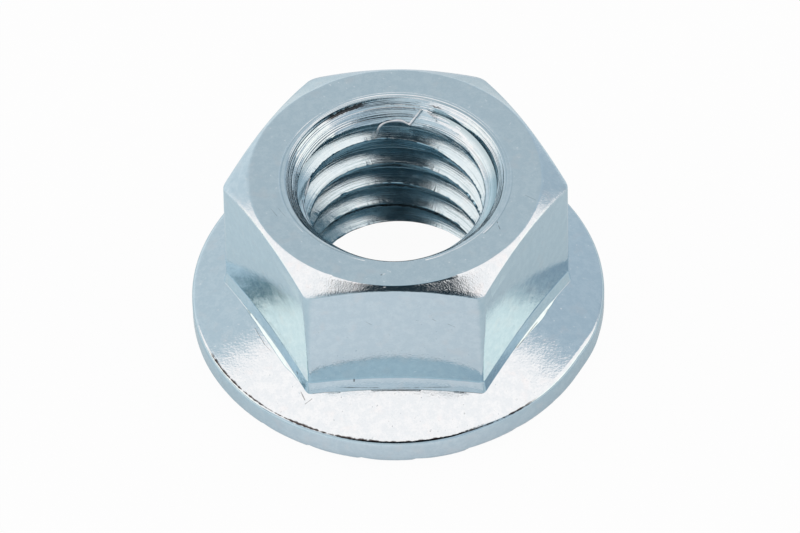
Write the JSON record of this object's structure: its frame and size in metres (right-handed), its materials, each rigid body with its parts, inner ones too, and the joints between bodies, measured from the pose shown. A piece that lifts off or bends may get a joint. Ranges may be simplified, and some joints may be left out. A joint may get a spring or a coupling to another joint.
{
  "type": "serrated flange nut",
  "caption": "Hexagon nut with a round flange in one piece, right-hand thread, locking serrations under the flange, zinc plated.",
  "frame": {"origin": "middle of the bearing face, on the plane of the serration crests that the nut stands on", "axes": "+Z along the thread axis, from the flange to the hexagon; two corners of the hexagon lie on the X axis, two of its faces look along -Y and +Y"},
  "size_m": [0.0208, 0.0208, 0.0098],
  "materials": {
    "zinc_plated_steel": "bright blue-white zinc plating on cold-formed steel, semi-gloss, with fine forming lines and small nicks"
  },
  "bodies": {
    "root": {"flange_nut": "zinc_plated_steel"}
  },
  "joints": []
}
